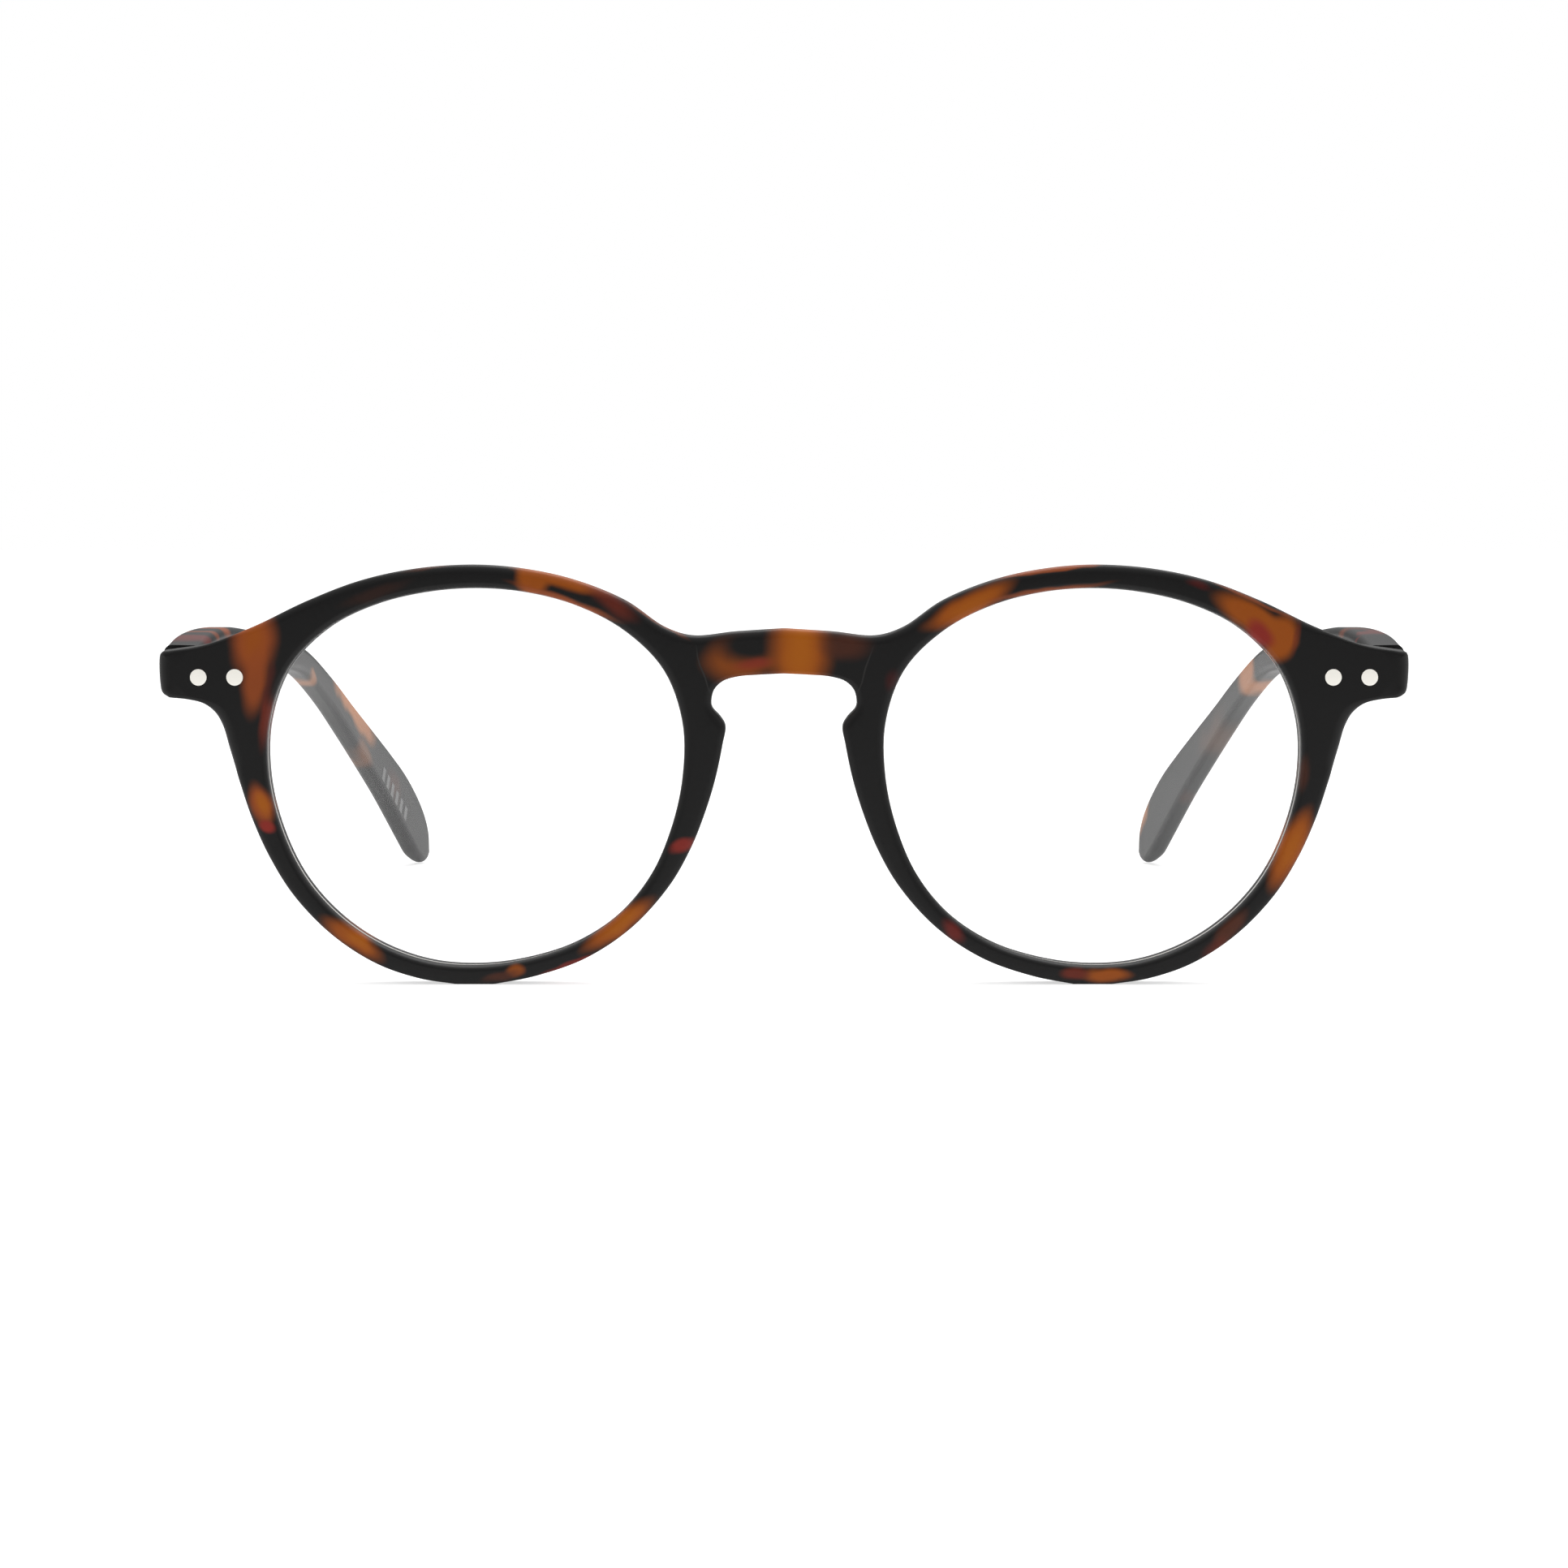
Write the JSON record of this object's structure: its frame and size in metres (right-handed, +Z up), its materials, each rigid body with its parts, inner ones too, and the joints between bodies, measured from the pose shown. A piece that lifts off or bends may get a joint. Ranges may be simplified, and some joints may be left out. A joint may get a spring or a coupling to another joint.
{
  "type": "folding reading glasses",
  "caption": "Round plastic reading glasses with a keyhole bridge, clear lenses, riveted spring hinges and temples that fold behind the front.",
  "frame": {"origin": "centre of the bounding box on the floor, with the rims' feet and the temple tips standing on z = 0 and the temples open", "axes": "+Z up, -Y the way the lenses face, +X the wearer's left"},
  "size_m": [0.1424, 0.1402, 0.0476],
  "materials": {
    "front_plastic": "soft matt tortoise",
    "temple_plastic": "soft matt tortoise, mostly black",
    "lens": "polished clear",
    "rivet": "satin, pale",
    "hinge_steel": "satin",
    "spring_steel": "bright drawn wire"
  },
  "bodies": {
    "front_body": {"front": "front_plastic", "left_lens": "lens", "right_lens": "lens", "left_inner_rivet": "rivet", "left_outer_rivet": "rivet", "right_inner_rivet": "rivet", "right_outer_rivet": "rivet", "left_hinge_leaf": "hinge_steel", "right_hinge_leaf": "hinge_steel", "left_hinge_screw": "hinge_steel", "right_hinge_screw": "hinge_steel"},
    "left_slider_body": {"left_hinge_slider": "hinge_steel", "left_slider_nut": "hinge_steel", "left_hinge_spring": "spring_steel"},
    "left_temple_body": {"left_temple": "temple_plastic", "left_hinge_housing": "hinge_steel"},
    "right_slider_body": {"right_hinge_slider": "hinge_steel", "right_slider_nut": "hinge_steel", "right_hinge_spring": "spring_steel"},
    "right_temple_body": {"right_temple": "temple_plastic", "right_hinge_housing": "hinge_steel"}
  },
  "joints": [
    {"name": "left_temple_fold", "type": "hinge", "parent": "front_body", "child": "left_slider_body", "pos_m": [0.0655, -0.06202, 0.0349], "axis": [0, 0, 1], "range_deg": [-8, 87]},
    {"name": "left_spring_slide", "type": "slide", "parent": "left_slider_body", "child": "left_temple_body", "axis": [0, 1, 0], "range_m": [0, 0.001], "stiffness_N_per_m": 2600, "springref_m": -0.001, "deforming": ["left_hinge_spring"]},
    {"name": "right_temple_fold", "type": "hinge", "parent": "front_body", "child": "right_slider_body", "pos_m": [-0.0655, -0.06202, 0.0349], "axis": [0, 0, -1], "range_deg": [-8, 83]},
    {"name": "right_spring_slide", "type": "slide", "parent": "right_slider_body", "child": "right_temple_body", "axis": [0, 1, 0], "range_m": [0, 0.001], "stiffness_N_per_m": 2600, "springref_m": -0.001, "deforming": ["right_hinge_spring"]}
  ]
}
